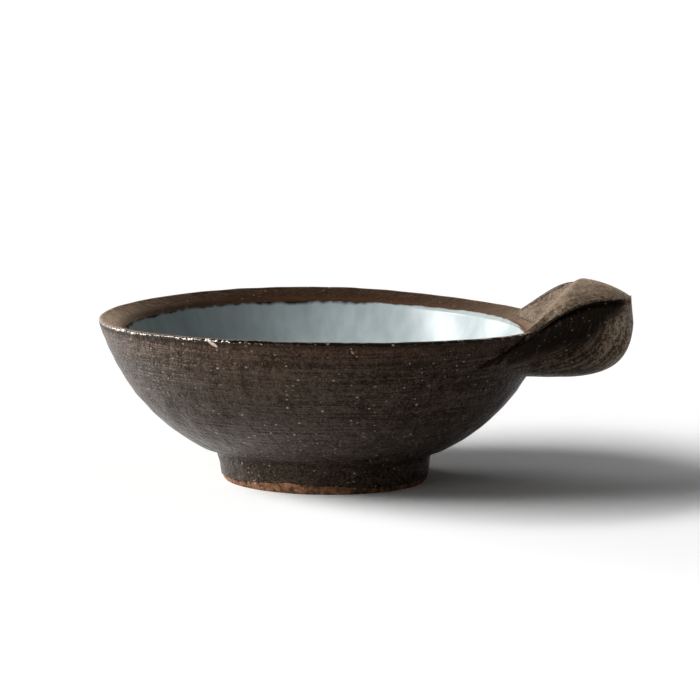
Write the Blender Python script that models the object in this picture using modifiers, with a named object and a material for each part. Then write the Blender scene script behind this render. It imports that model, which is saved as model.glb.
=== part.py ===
"""A stoneware dipping bowl on one turned foot ring, with one folded lug handle.

The clay pieces are a thrown bowl, a foot ring and a lug, luted together with slip. Three glaze coats
lie on them: a pale liner inside, a brown coat over the rim, the wall and the foot, and the same brown
on the lug. The lug points along +X, and the table is the plane z = 0.
"""

import math

import bmesh
import bpy
import numpy as np

# Bowl, in metres. Heights are above the table, and radii are from the bowl's own axis.
RIM_DIAMETER = 0.1284
RIM_HEIGHT = 0.0465
LIP_RADIUS = 0.0014
BEVEL_DROP = 0.0035
UNDERSIDE_HEIGHT = 0.0085
RIM_WALL = 0.0047
FOOT_WALL = 0.0052
FLOOR_THICKNESS = 0.0036

# Curve of the wall: its slope at each end, and how far each slope holds before the wall bends.
RIM_LEAN = math.radians(18.0)
BEVEL_SLOPE = math.radians(43.0)
WALL_RISE = math.radians(30.0)
LOWER_BELLY = 0.0072
UPPER_BELLY = 0.0295

# Foot ring. Its taper and width, and the shoulder of the underside past its top, are taken at one side.
FOOT_TOP_DIAMETER = 0.0596
FOOT_TAPER = 0.0007
FOOT_WIDTH = 0.0063
FOOT_SHOULDER = 0.0007
FOOT_EDGE = 0.0012

# Joints and coats
SEAT_GAP = 0.0003
SLIP_THICKNESS = 0.0006
SLIP_INSET = 0.0006
GLAZE_THICKNESS = 0.0005
FOOT_GLAZE_LINE = 0.0032

# Lug handle. Its overhang, its hump's place and its saddle's inset are measured out or in from the rim's
# edge, and its heights from the top of the rim. The root's corners sink into the wall.
LUG_OVERHANG = 0.0232
LUG_HUMP_OVERHANG = 0.0108
LUG_SADDLE_INSET = 0.0027
LUG_ROOT_SINK = 0.0007
LUG_ROOT_WIDTH = 0.0728
LUG_NARROWING = 0.35
LUG_TUCK = 0.0040
LUG_SADDLE_DROP = 0.0016
LUG_HUMP_RISE = 0.0116
LUG_TIP_RISE = 0.0069
LUG_EDGE_DROP = 0.0175
LUG_BACK_LIFT = 0.0035
LUG_KEEL_DROP = 0.0154
LUG_END_RISE = 0.0165
LUG_CREASE = 0.0010
LUG_LOWER_LIP = 0.0012

# Curves of the lug: powers that bend its edges, its keel and its sides and width at the root, and that
# fade what dies out at either end. The places and spreads are shares of its length or of the half turn
# under it: where the back is lifted, and where the crease and the lip lie.
LUG_EDGE_BEND = 3.0
LUG_KEEL_BEND = 3.0
LUG_ROOT_UNDERCUT = 0.6
LUG_ROOT_BLEND = 0.15
LUG_TUCK_BEND = 24.0
LUG_TIP_FADE = 4.0
LUG_ROOT_FADE = 3.0
BACK_LIFT_PLACE = 0.55
BACK_LIFT_SPREAD = 0.25
CREASE_SPREAD = 0.05
LOWER_LIP_PLACE = 0.14
LOWER_LIP_SPREAD = 0.08

# Fineness of the facets
TURNED_STEPS = 48
WALL_POINTS = 10
LIP_POINTS = 6
FLOOR_POINTS = 4
LUG_STATIONS = 21
LUG_UPPER_POINTS = 11
LUG_LOWER_POINTS = 17
FOOT_EDGE_POINTS = 4
# How far the points under the lug crowd towards its edges, from 0 to 1
EDGE_CROWDING = 0.7

# Colours
CLAY = (0.27, 0.13, 0.07)
SLIP = (0.33, 0.19, 0.12)
BROWN = (0.035, 0.022, 0.016)
PALE = (0.55, 0.60, 0.61)

# Sizes that follow from those above
UNDERSIDE_DIAMETER = FOOT_TOP_DIAMETER + 2 * FOOT_SHOULDER
FOOT_BASE_DIAMETER = FOOT_TOP_DIAMETER - 2 * FOOT_TAPER
FOOT_BORE_DIAMETER = FOOT_TOP_DIAMETER - 2 * FOOT_WIDTH
FOOT_RING_HEIGHT = UNDERSIDE_HEIGHT - SLIP_THICKNESS - 2 * SEAT_GAP
BODY_COAT = SEAT_GAP + GLAZE_THICKNESS
# How far below the bevel the liner ends, clear of the brown coat that comes over the bevel
LINER_STOP = 2 * BODY_COAT
LIP_CENTRE = np.array([RIM_DIAMETER / 2 - LIP_RADIUS, RIM_HEIGHT - LIP_RADIUS])
LUG_REACH = RIM_DIAMETER / 2 + LUG_OVERHANG
LUG_HUMP_REACH = RIM_DIAMETER / 2 + LUG_HUMP_OVERHANG
LUG_SADDLE_REACH = RIM_DIAMETER / 2 - LUG_SADDLE_INSET
LUG_ROOT_HEIGHT = RIM_HEIGHT + LUG_TIP_RISE - LUG_EDGE_DROP
# The bowl's axis stands off the origin, so that the origin is under the middle of the whole object.
AXIS_X = -LUG_OVERHANG / 2


def clear_scene():
    for obj in list(bpy.data.objects):
        bpy.data.objects.remove(obj, do_unlink=True)


def new_collection(name):
    collection = bpy.data.collections.new(name)
    bpy.context.scene.collection.children.link(collection)
    return collection


def new_material(name, colour, roughness):
    material = bpy.data.materials.new(name)
    material.use_nodes = True
    shader = material.node_tree.nodes["Principled BSDF"]
    shader.inputs["Base Color"].default_value = (*colour, 1.0)
    shader.inputs["Roughness"].default_value = roughness
    shader.inputs["Metallic"].default_value = 0.0
    return material


def new_object(name, mesh, collection, axis, material=None):
    """Puts a mesh in a collection, parented to the bowl's axis."""
    obj = bpy.data.objects.new(name, mesh)
    obj.parent = axis
    collection.objects.link(obj)
    if material:
        mesh.materials.append(material)
    else:
        obj.hide_render = True
        obj.display_type = "WIRE"
    return obj


def direction(angle):
    return np.array([math.cos(angle), math.sin(angle)])


def bezier(start, start_pull, end_pull, end, count):
    """Points of a cubic curve."""
    t = np.linspace(0.0, 1.0, count)[:, None]
    s = 1.0 - t
    return s**3 * start + 3 * s**2 * t * start_pull + 3 * s * t**2 * end_pull + t**3 * end


def left_normals(line):
    """Unit normals on the left of each point of a line of (r, z) rows."""
    along = np.gradient(line, axis=0)
    along /= np.linalg.norm(along, axis=1)[:, None]
    return np.stack([-along[:, 1], along[:, 0]], axis=1)


def offset(line, distance):
    """A line moved to its left by a distance, with mitred corners."""
    steps = np.diff(line, axis=0)
    steps /= np.linalg.norm(steps, axis=1)[:, None]
    sides = np.stack([-steps[:, 1], steps[:, 0]], axis=1)
    before = np.vstack([sides[:1], sides])
    after = np.vstack([sides, sides[-1:]])
    mitre = before + after
    mitre /= (1.0 + (before * after).sum(axis=1))[:, None]
    return line + distance * mitre


def outer_wall():
    """Outside of the clay wall as (r, z) rows, from the lip down to the underside."""
    lip = LIP_CENTRE + LIP_RADIUS * direction(-RIM_LEAN)
    foot = np.array([UNDERSIDE_DIAMETER / 2, UNDERSIDE_HEIGHT])
    lip_pull = lip - UPPER_BELLY * direction(math.pi / 2 - RIM_LEAN)
    foot_pull = foot + LOWER_BELLY * direction(WALL_RISE)
    return bezier(lip, lip_pull, foot_pull, foot, WALL_POINTS)


def inner_wall():
    """Inside of the clay wall, from where the floor begins up to the bevel under the lip."""
    outside = outer_wall()
    share = np.linspace(0.0, 1.0, WALL_POINTS)[:, None]
    inside = outside - left_normals(outside) * (RIM_WALL + (FOOT_WALL - RIM_WALL) * share)
    bevel_foot = RIM_HEIGHT - BEVEL_DROP
    below = inside[inside[:, 1] < bevel_foot - LIP_RADIUS]
    top_radius = np.interp(bevel_foot, inside[::-1, 1], inside[::-1, 0])
    return np.vstack([below[::-1], [[top_radius, bevel_foot]]])


def floor_line():
    """Inside of the floor, from the axis out to the wall."""
    wall = inner_wall()
    centre = np.array([0.0, UNDERSIDE_HEIGHT + FLOOR_THICKNESS])
    edge = wall[0]
    rise = (wall[1] - wall[0]) / np.linalg.norm(wall[1] - wall[0])
    level_pull = np.array([edge[0] / 2, centre[1]])
    edge_pull = edge - rise * (edge[1] - centre[1])
    return bezier(centre, level_pull, edge_pull, edge, FLOOR_POINTS + 1)[:-1]


def lip_line():
    """The round of the lip, from the bevel over to the outer wall."""
    angles = np.linspace(math.pi / 2 + BEVEL_SLOPE, -RIM_LEAN, LIP_POINTS)[:-1]
    return LIP_CENTRE + LIP_RADIUS * np.stack([np.cos(angles), np.sin(angles)], axis=1)


def foot_side(lowest):
    """Outside of the foot ring, from its top down to a height."""
    radii = (FOOT_TOP_DIAMETER / 2, FOOT_BASE_DIAMETER / 2)
    radius = np.interp(lowest, (0.0, FOOT_RING_HEIGHT), radii[::-1])
    return np.array([[radii[0], FOOT_RING_HEIGHT], [radius, lowest]])


def turned_mesh(name, line, closed):
    """A mesh of a profile's edges, ready to be turned round the axis."""
    mesh = bpy.data.meshes.new(name)
    points = [(r, 0.0, z) for r, z in line]
    edges = [(i, i + 1) for i in range(len(points) - 1)]
    if closed:
        edges.append((len(points) - 1, 0))
    mesh.from_pydata(points, edges, [])
    return mesh


def turn(obj):
    """Turns a profile round the axis into a solid."""
    screw = obj.modifiers.new("turn", "SCREW")
    screw.steps = TURNED_STEPS
    screw.render_steps = TURNED_STEPS
    screw.use_merge_vertices = True
    screw.merge_threshold = 1e-5
    screw.use_smooth_shade = True
    return obj


def cut(obj, cutter, operation="DIFFERENCE"):
    boolean = obj.modifiers.new(cutter.name, "BOOLEAN")
    boolean.solver = "EXACT"
    boolean.operation = operation
    boolean.object = cutter


def coat(line):
    """Closed profile of a glaze coat that lies just clear of a line, on its left."""
    return np.vstack([offset(line, BODY_COAT), offset(line, SEAT_GAP)[::-1]])


def thrown_bowl():
    underside = np.array([[0.0, UNDERSIDE_HEIGHT]])
    line = np.vstack([floor_line(), inner_wall(), lip_line(), outer_wall(), underside])
    return turned_mesh("thrown_bowl", line, closed=False)


def foot_ring():
    """A ring with a tapered outside and a rounded edge all round its flat base."""
    side = foot_side(FOOT_EDGE)
    bore = FOOT_BORE_DIAMETER / 2
    angles = np.linspace(0.0, math.pi / 2, FOOT_EDGE_POINTS)[1:]
    turn_in = np.stack([np.cos(angles), -np.sin(angles)], axis=1)
    outer_edge = side[1] + FOOT_EDGE * (turn_in - [1.0, 0.0])
    inner_edge = np.array([bore, FOOT_EDGE]) + FOOT_EDGE * (turn_in[::-1] * [-1.0, 1.0] + [1.0, 0.0])
    bore_line = np.array([[bore, FOOT_EDGE], [bore, FOOT_RING_HEIGHT]])
    return turned_mesh("foot_ring", np.vstack([side, outer_edge, inner_edge, bore_line]), closed=True)


def foot_luting_slip():
    inner = FOOT_BORE_DIAMETER / 2 + SLIP_INSET
    outer = FOOT_TOP_DIAMETER / 2 - SLIP_INSET
    low = FOOT_RING_HEIGHT + SEAT_GAP
    high = low + SLIP_THICKNESS
    line = [(inner, high), (outer, high), (outer, low), (inner, low)]
    return turned_mesh("foot_luting_slip", line, closed=True)


def liner_glaze():
    """The liner stops short of the bevel, where the brown coat begins."""
    wall = inner_wall()
    rise = (wall[-1] - wall[-2]) / np.linalg.norm(wall[-1] - wall[-2])
    wall[-1] -= rise * LINER_STOP
    line = np.vstack([floor_line(), wall])
    upper = offset(line, BODY_COAT)
    lower = offset(line, SEAT_GAP)
    upper[0, 0] = 0.0
    lower[0, 0] = 0.0
    return turned_mesh("liner_glaze", np.vstack([upper, lower[::-1]]), closed=False)


def body_glaze():
    bevel_foot = inner_wall()[-1:]
    line = np.vstack([bevel_foot, lip_line(), outer_wall(), foot_side(FOOT_GLAZE_LINE)])
    return turned_mesh("body_glaze", coat(line), closed=True)


def wall_cutter(name, growth):
    """Everything inside the outer wall grown by a distance, carried straight up past the rim."""
    wall = offset(outer_wall(), growth)
    top = RIM_HEIGHT + 2 * LUG_HUMP_RISE
    line = np.vstack([[[0.0, top], [wall[0, 0], top]], wall, [[0.0, wall[-1, 1]]]])
    return turned_mesh(name, line, closed=False)


def smooth_step(x):
    x = np.clip(x, 0.0, 1.0)
    return x * x * (3.0 - 2.0 * x)


def bump(x, place, spread):
    return np.exp(-(((x - place) / spread) ** 2))


def lug_length():
    """From the tip back to a root whose corners, at the lug's full width, are sunk in the wall."""
    wall = outer_wall()[::-1]
    corner_radius = np.interp(LUG_ROOT_HEIGHT, wall[:, 1], wall[:, 0]) - LUG_ROOT_SINK
    return LUG_REACH - math.sqrt(corner_radius**2 - (LUG_ROOT_WIDTH / 2 - LUG_TUCK) ** 2)


def lug_surface(growth):
    """Rings of points round the lug, from inside the bowl's wall to the tip, grown by a distance.

    Each ring has an upper line, arched from the front edge to the back edge, and a lower line, a half
    ellipse hung from the two edges with a crease under each. The width closes as a round at the tip.
    """
    u = np.linspace(0.0, 1.0, LUG_STATIONS)[:, None]
    along = 1.0 - (1.0 - u) ** 2
    x = LUG_REACH - lug_length() * (1.0 - along)
    half_width = LUG_ROOT_WIDTH / 2 * (1.0 - u) * (1.0 - LUG_NARROWING * along)
    half_width = half_width - LUG_TUCK * (1.0 - u) ** LUG_TUCK_BEND
    front = LUG_ROOT_HEIGHT + LUG_EDGE_DROP * (1.0 - (1.0 - along) ** LUG_EDGE_BEND)
    # The back's lift, the crease and the lip under it fade out where the lug closes.
    fade = 1.0 - u**LUG_TIP_FADE
    back = front + LUG_BACK_LIFT * bump(along, BACK_LIFT_PLACE, BACK_LIFT_SPREAD) * fade
    climb = smooth_step((x - LUG_SADDLE_REACH) / (LUG_HUMP_REACH - LUG_SADDLE_REACH))
    fall = np.clip((x - LUG_HUMP_REACH) / (LUG_REACH - LUG_HUMP_REACH), 0.0, 1.0) ** 2
    middle = RIM_HEIGHT - LUG_SADDLE_DROP + (LUG_HUMP_RISE + LUG_SADDLE_DROP) * climb
    middle = middle - (LUG_HUMP_RISE - LUG_TIP_RISE) * fall
    keel = RIM_HEIGHT - LUG_KEEL_DROP + LUG_END_RISE * u**LUG_KEEL_BEND

    def edge_height(across):
        return front + (back - front) * (1.0 + across) / 2

    sweep = np.linspace(0.0, 1.0, LUG_LOWER_POINTS)
    angle = np.pi * (sweep - EDGE_CROWDING * np.sin(2 * np.pi * sweep) / (2 * np.pi))
    from_edge = np.minimum(angle, np.pi - angle) / np.pi
    bulge = LUG_LOWER_LIP * bump(from_edge, LOWER_LIP_PLACE, LOWER_LIP_SPREAD)
    bulge = bulge - LUG_CREASE * bump(from_edge, 0.0, CREASE_SPREAD)
    bulge = bulge * fade * smooth_step(u / LUG_ROOT_BLEND)
    lower_y = np.cos(angle) * half_width + np.sign(np.cos(angle)) * bulge
    lower_z = edge_height(np.cos(angle))
    side_bend = 1.0 + LUG_ROOT_UNDERCUT * (1.0 - u) ** LUG_ROOT_FADE
    lower_z = lower_z - (lower_z - keel) * np.abs(np.sin(angle)) ** side_bend

    across = np.linspace(-1.0, 1.0, LUG_UPPER_POINTS)[1:-1]
    upper_y = across * lower_y[:, :1]
    upper_z = edge_height(across) + (middle - edge_height(0.0)) * (1.0 - across**2)

    y = np.hstack([lower_y, upper_y])
    z = np.hstack([lower_z, upper_z])
    rings = np.stack([np.broadcast_to(x, y.shape), y, z], axis=-1)
    around = np.roll(rings, -1, axis=1) - np.roll(rings, 1, axis=1)
    normals = np.cross(np.gradient(rings, axis=0), around)
    normals[0, :, 0] = 0.0
    normals[-1] = (1.0, 0.0, 0.0)
    normals /= np.linalg.norm(normals, axis=2)[..., None]
    return rings + growth * normals


def lug_mesh(name, rings, capped):
    """A loft through rings of points. The last ring closes on itself along the tip."""
    stations, ring_points = rings.shape[:2]
    build = bmesh.new()
    verts = [[build.verts.new(point) for point in ring] for ring in rings.tolist()]
    for i in range(stations - 1):
        for j in range(ring_points):
            k = (j + 1) % ring_points
            build.faces.new((verts[i][j], verts[i + 1][j], verts[i + 1][k], verts[i][k]))
    if capped:
        build.faces.new(verts[0])
    bmesh.ops.remove_doubles(build, verts=build.verts[:], dist=1e-5)
    bmesh.ops.recalc_face_normals(build, faces=build.faces[:])
    mesh = bpy.data.meshes.new(name)
    build.to_mesh(mesh)
    build.free()
    mesh.shade_smooth()
    return mesh


def main():
    clear_scene()
    parts = new_collection("dipping_bowl")
    cutters = new_collection("cutters")
    axis = bpy.data.objects.new("bowl_axis", None)
    axis.location = (AXIS_X, 0.0, 0.0)
    parts.objects.link(axis)

    def part(mesh, colour, roughness):
        return new_object(mesh.name, mesh, parts, axis, new_material(mesh.name, colour, roughness))

    def cutter(mesh):
        return new_object(mesh.name, mesh, cutters, axis)

    slip_depth = SEAT_GAP + SLIP_THICKNESS
    wall_face = turn(cutter(wall_cutter("wall_face", SEAT_GAP)))
    slip_face = turn(cutter(wall_cutter("slip_face", slip_depth)))
    lug_seat = turn(cutter(wall_cutter("lug_seat", slip_depth + SEAT_GAP)))
    coat_face = turn(cutter(wall_cutter("coat_face", BODY_COAT + SEAT_GAP)))
    clay_face = turn(cutter(wall_cutter("clay_face", SEAT_GAP / 2)))
    lug_window = cutter(lug_mesh("lug_window", lug_surface(2 * SEAT_GAP), capped=True))
    cut(lug_window, clay_face)

    turn(part(thrown_bowl(), CLAY, 0.8))
    turn(part(foot_ring(), CLAY, 0.8))
    turn(part(foot_luting_slip(), SLIP, 0.9))
    turn(part(liner_glaze(), PALE, 0.15))
    cut(turn(part(body_glaze(), BROWN, 0.3)), lug_window)

    cut(part(lug_mesh("lug_handle", lug_surface(0.0), capped=True), CLAY, 0.8), lug_seat)
    luting = part(lug_mesh("lug_luting_slip", lug_surface(0.0), capped=True), SLIP, 0.9)
    cut(luting, slip_face, "INTERSECT")
    cut(luting, wall_face)
    lug_coat = part(lug_mesh("lug_glaze", lug_surface(SEAT_GAP), capped=False), BROWN, 0.3)
    thicken = lug_coat.modifiers.new("coat", "SOLIDIFY")
    thicken.thickness = GLAZE_THICKNESS
    thicken.offset = 1.0
    thicken.use_even_offset = True
    cut(lug_coat, coat_face)


main()
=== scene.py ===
"""Looks of a stoneware dipping bowl: its glazes, its bare clay foot, the camera and the studio light.

Lengths are in metres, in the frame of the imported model: the lug points along +X, the camera looks
roughly along +Y, and the table is z = 0. Angles round the bowl turn from +X towards +Y.
"""

import math

import bmesh
import bpy
import numpy as np
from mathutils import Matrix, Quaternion, Vector


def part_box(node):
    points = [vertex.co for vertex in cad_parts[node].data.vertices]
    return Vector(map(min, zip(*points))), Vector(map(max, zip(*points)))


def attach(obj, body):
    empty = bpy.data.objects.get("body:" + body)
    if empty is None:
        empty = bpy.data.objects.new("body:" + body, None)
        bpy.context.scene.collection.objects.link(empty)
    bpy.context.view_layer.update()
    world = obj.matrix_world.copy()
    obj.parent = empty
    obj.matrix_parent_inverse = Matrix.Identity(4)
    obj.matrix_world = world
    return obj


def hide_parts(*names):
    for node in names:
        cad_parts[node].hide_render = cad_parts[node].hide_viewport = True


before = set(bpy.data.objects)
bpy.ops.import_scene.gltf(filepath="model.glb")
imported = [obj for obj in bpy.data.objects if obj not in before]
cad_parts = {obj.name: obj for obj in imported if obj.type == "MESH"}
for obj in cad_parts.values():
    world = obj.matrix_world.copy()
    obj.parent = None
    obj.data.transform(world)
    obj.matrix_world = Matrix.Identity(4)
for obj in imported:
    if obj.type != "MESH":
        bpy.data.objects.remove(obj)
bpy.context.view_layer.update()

foot_low, foot_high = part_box("foot_ring")
coat_low, coat_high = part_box("body_glaze")

# Below, three numbers for a swell are its height or strength, its place and its spread. Two for a bump are
# its place and its spread. Waves are the fewest and the most in a turn round the bowl, and a seed.

# Bowl, as it is fired, with its coats on
AXIS_X = (foot_low.x + foot_high.x) / 2
RIM_RADIUS = (coat_high.y - coat_low.y) / 2
RIM_TOP = coat_high.z
LIP_ROUND = 0.0009
LIP_CENTRE = np.array([RIM_RADIUS - LIP_ROUND, RIM_TOP - LIP_ROUND])
RIM_LEAN = math.radians(18.0)
BEVEL_SLOPE = math.radians(43.0)
BEVEL_DROP = 0.0035
UPPER_BELLY = 0.0295
LOWER_BELLY = 0.0072
WALL_RISE = math.radians(30.0)
WALL_FOOT = np.array([0.0309, 0.0074])
RIM_WALL = 0.0063
FOOT_WALL = 0.0068
FLOOR_TOP = 0.0129
FLOOR_ROUND = 0.0045
COAT = 0.0005
CLAY_DEPTH = 0.0008

# Unevenness of the wall and the lip: throwing rings, waves, and lumps of thicker glaze low down
RING_HEIGHT = 0.00005
RING_SPACING = 0.0046
RING_DRIFT = 1.5
RING_DRIFT_TURN = 2.0
UNEVEN = 0.00018
UNEVEN_WAVES = (2, 9, 5)
LIP_WAVE = 0.00012
LIP_WAVES = (6, 40, 8)
LIP_WAVE_START = 0.9
LUMP = 0.0003
LUMP_HEIGHTS = (0.0135, 0.0175, 0.0215, 0.0260)
LUMP_SPREAD = 0.0024
LUMP_WAVES = (9, 40)
LUMP_SEED = 40

# Foot: the trimmed band above it, its glazed side, its bare edge and its bore
SEAM_HEIGHT = 0.0103
SEAM_STEP = 0.0004
SEAM_SOFT = 0.0004
COVE_REACH = 0.0012
COVE_PULL = 0.0009
FOOT_SIDE_TOP = 0.0067
FOOT_TOP_RADIUS = 0.0307
FOOT_BASE_RADIUS = 0.0297
FOOT_RIDGE = (0.00012, FOOT_SIDE_TOP, 0.0005)
FOOT_GLAZE_LINE = 0.0016
FOOT_GLAZE_RISE = (0.0014, math.radians(255.0), math.radians(28.0))
FOOT_GLAZE_WAVE = 0.00035
FOOT_GLAZE_WAVES = (4, 40, 11)
FOOT_CLAY_INSET = 0.00035
FOOT_CLAY_DROP = 0.0015
FOOT_WEAR = (0.00012, 0.0008, 0.0012)
FOOT_WEAR_WAVES = (4, 40, 31)
FOOT_EDGE = 0.0007
FOOT_SHIFT = 0.0005
FOOT_SHIFT_END = 0.012
FOOT_BORE_RADIUS = 0.0235
BORE_START = 0.003
BORE_TAPER = 0.0004
BORE_TOP_DROP = 0.0003
RING_TOP_RADIUS = 0.0270
RING_TOP_DROP = 0.0006
UNDERSIDE = 0.0085
UNDERSIDE_INSET = 0.0006

# Warp of the soft clay: front and back of the rim stand higher than its sides, and the front more.
WARP_MEAN = -0.00006
WARP_SADDLE = 0.00074
WARP_TILT = 0.000365
WARP_DIP = (0.0009, math.radians(52.0), math.radians(28.0))
WARP_BEND = 1.5
WARP_FADE = 0.025

# Edge of the pale glaze, up the bevel from its foot. At the back it climbs higher and is crisper on the lug's
# side, and on the other side the brown glaze above it is thick and dark.
EDGE_CLIMB = 0.0004
EDGE_WAVE = 0.00035
EDGE_WAVES = (5, 60, 21)
EDGE_RUNS = 0.0002
EDGE_RUN_WAVES = (60, 150, 22)
EDGE_BLEED = 0.0012
EDGE_THICK = 0.00006
EDGE_THINNING = 0.3
EDGE_RISE = 0.0020
EDGE_RISE_SIDE = (math.radians(42.0), math.radians(32.0))
EDGE_RISE_CRISP = 2.0
EDGE_POOL = 0.95
EDGE_POOL_SIDE = (math.radians(140.0), math.radians(38.0))
EDGE_POOL_BAND = (0.0011, 0.0017)
EDGE_POOL_CRISP = 1.2

# What the brown coat shows at places along its line: from the bevel's foot, from the lip, or by height
BEVEL_FADE = 0.002
BEVEL_CALM = 0.85
BEVEL_RUST = 0.1
BEVEL_FOOT_RUST = (0.45, 0.0012, 0.0012)
BEVEL_FOOT_POOL = (0.6, 0.0007, 0.0009)
LIP_RUST = 0.22
LIP_RUST_START = 0.002
LIP_RUST_FADE = 0.005
LIP_GLOSS_BAND = (0.0004, 0.0006)
# A band just under the lip painted nearly black: painted shade and dark reflection
LIP_SHADE_BAND = (0.9, 0.0010, 0.0008)
LIP_WORN = (0.7, -0.0005, 0.0003)
SEAM_POOL = (0.7, SEAM_HEIGHT, 0.0003)
WALL_WET = (0.2, 0.0165, 0.006)
TURNED_START = 0.001
TURNED_FULL = 0.004
TURNED_LOW = 0.012

# Lug, as it is fired. Reaches are from the bowl's axis, and heights from the table.
LUG_REACH = 0.0882
LUG_LENGTH = 0.0383
LUG_ROOT_WIDTH = 0.0772
LUG_NARROWING = 0.35
LUG_TUCK = 0.0030
LUG_TUCK_BEND = 16.0
LUG_CLIMB_START = 0.0590
LUG_CLIMB_END = 0.0730
LUG_CLIMB_SKEW = 0.18
LUG_HUMP_REACH = 0.0750
LUG_SADDLE = 0.0466
LUG_LAP_REACH = 0.0600
LUG_LAP_LENGTH = 0.0022
LUG_LAP_DROP = 0.0027
LUG_ROOT_ARCH = 1.2
LUG_LOBE_REACH = 0.0008
LUG_HUMP = 0.0582
LUG_TIP = 0.0538
LUG_ROOT = 0.0394
LUG_KEEL = 0.0299
LUG_KEEL_LIFT = 0.0022
LUG_END_RISE = 0.0165
LUG_EDGE_BEND = 2.46
LUG_KEEL_BEND = 3.0
LUG_FALL_BEND = 2.0
LUG_ROOT_UNDERCUT = 0.45
LUG_ROOT_BLEND = 0.15
LUG_SMEAR = 0.0100
LUG_SMEAR_REACH = 0.0040
LUG_SINK = 0.0007
CLAY_WIDTH = 0.7
CLAY_EDGE_DROP = 0.0035

# Folds of the lug. Lifts are placed along it, the next four by share of the way round under an edge, the
# thumb's fold by reach and the valley across the upper side. The back has less of them.
FRONT_LIFT = (0.0013, 0.68, 0.28)
BACK_LIFT = (0.0036, 0.55, 0.25)
CREASE = (0.0018, 0.015, 0.012)
LOWER_LIP = (0.0022, 0.33, 0.10)
HOLLOW = (0.0036, 0.17, 0.075)
HOLLOW_END = 0.0860
HOLLOW_FADE = 0.012
THUMB_FOLD = (0.0004, 0.0675, 0.0022)
THUMB_FOLD_START = 0.1
VALLEY_DEPTH = 0.0022
VALLEY = (-0.86, 0.07)
VALLEY_END = 0.0680
VALLEY_FADE = 0.008
BACK_RELIEF = 0.3
SMEAR_RISE = (0.06, 0.20)
SMEAR_FALL = (0.48, 0.28)

# What the lug's coat shows: painted light and thin glaze, painted shade and pools, and the brush's lines
WORN_AND_LIT_EDGE = 0.03
WORN_AND_LIT_CREST = (-1.0, 0.07)
WORN_AND_LIT_AT_RIM = 0.3
WORN_AND_LIT_RIM_REACH = (0.0575, 0.0660)
PAINTED_LIGHT_SIDES = 0.5
PAINTED_LIGHT_END = 1.7
PAINTED_LIGHT_END_START = 0.6
POOL_SHADE_EDGE = 0.008
POOL_SHADE_DEPTH = 0.25
POOL_SHADE_NARROWING = 0.12
POOL_SHADE_NARROW_ALONG = (0.6, 0.9)
POOL_SHADE_FADE = 0.1
POOL_SHADE_TIP_REACH = (0.0872, 0.0842)
LINED_LESS = 0.6
LINED_LESS_START = 0.85
BRUSH_GIRTH = 0.028
BRUSH_SWEEP = 0.035
BRUSH_TOP_OFFSET = 0.1
BRUSH_TOP_GIRTH = 0.03
BRUSH_TOP_LENGTH = 0.04

# Fineness of the meshes. Counts of points along a turned line stand where the line is drawn.
TURNED_COLUMNS = 360
CLAY_COLUMNS = 160
FOOT_COLUMNS = 240
CURVE_POINTS = 400
FLOOR_POINTS = 200
LUG_STATIONS = 130
LUG_LOWER_POINTS = 150
LUG_UPPER_POINTS = 90
LUG_CROWDING = 0.7
LUG_SEARCH_STEPS = 600

# Camera, fitted to the photograph's frame
CAMERA_PLACE = (0.0341, -1.0991, 0.193)
CAMERA_LENS = 198.4
SENSOR = 36.0
CAMERA_TURN = math.radians(2.0)
CAMERA_PITCH = math.radians(8.06)
CAMERA_ROLL = math.radians(0.64)
CAMERA_FAR = 100.0

# Light. A lamp's turn is from -X towards the camera.
KEY_STRENGTH = 4.3
KEY_LAMPS = 7
KEY_ANGLE = math.radians(14.0)
KEY_SPREAD = math.radians(20.0)
KEY_HEIGHT = math.radians(33.0)
KEY_TILT = math.radians(5.0)
KEY_TURN = math.radians(10.0)
FILL_ANGLE = math.radians(24.0)
BACK_STRENGTH = 1.5
BACK_TURN = math.radians(-30.0)
BACK_HEIGHT = math.radians(10.0)
FRONT_STRENGTH = 0.2
FRONT_TURN = math.radians(54.0)
FRONT_HEIGHT = math.radians(18.0)
SKY_SIDE = (0.45, 0.10, 0.88)
SKY_START = -0.3
SKY_DARK = 0.008
SKY_BRIGHT = 0.11
BACKDROP_SIDE = (-0.50, 0.85, 0.15)
BACKDROP_START = 0.3
BACKDROP_FULL = 0.95
BACKDROP_GLOSS = 1.0
BACKDROP_TINT = "#ffe4c8"
WHITE = "#ffffff"

# Table: how bright the camera sees it, and how much light it gives back near the lamps and far from them
TABLE_HALF = 8.0
TABLE_SEEN = 1.1
TABLE_NEAR = 0.95
TABLE_FAR = 0.5
FALL_OFF = 0.12

# Brown glaze: its colours, the sizes of its patterns in millimetres, and how strong each is
BROWN_MARKS = ("rust", "gloss", "pool_and_shade", "worn_and_lit", "turned", "calm", "wet")
BROWN_DARK = "#150f0b"
BROWN_LIGHT = "#4c4138"
# Paler tones of thin glaze, on the lug also painted light
WORN_AND_LIT_DARK = "#3b2e22"
WORN_AND_LIT_LIGHT = "#958370"
RUST = "#6b3a1c"
# The lip's colour, nearly black: a painted dark reflection on the glossy lip
LIP_BLACK = "#120b07"
STREAK_TAN = "#74665a"
SPECK_TAN = "#b8aa9e"
PIN_HOLE = "#0d0906"
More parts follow.
